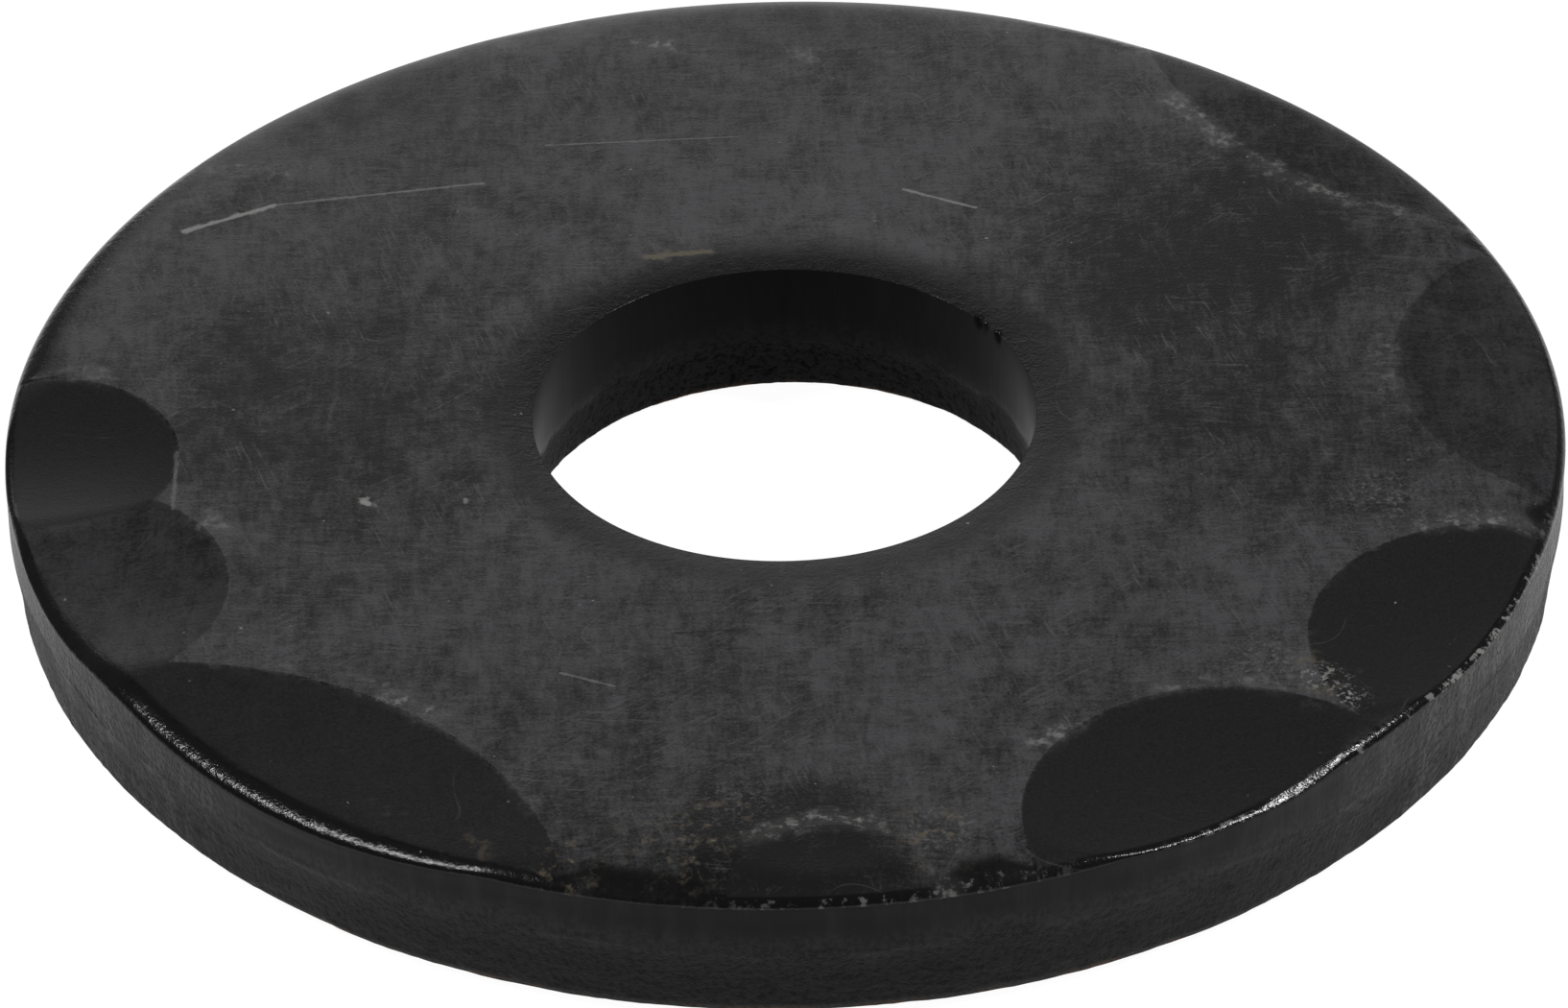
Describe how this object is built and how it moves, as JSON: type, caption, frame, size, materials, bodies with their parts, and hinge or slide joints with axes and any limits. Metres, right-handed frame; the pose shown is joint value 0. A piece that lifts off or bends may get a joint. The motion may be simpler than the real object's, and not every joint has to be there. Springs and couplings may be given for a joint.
{
  "type": "flat washer",
  "caption": "Heavy round flat washer of blackened steel with a plain clearance hole, rolled upper edges and a dented rim.",
  "frame": {"origin": "centre of the hole at the lower face", "axes": "+Z along the hole's axis, from the lower face to the rolled, dented upper face"},
  "size_m": [0.034, 0.034, 0.0034],
  "materials": {
    "blackened_steel": "matt to satin black oxide on stamped steel, rubbed brighter along the dents' borders and on the rolled rim"
  },
  "bodies": {
    "root": {"washer": "blackened_steel"}
  },
  "joints": []
}
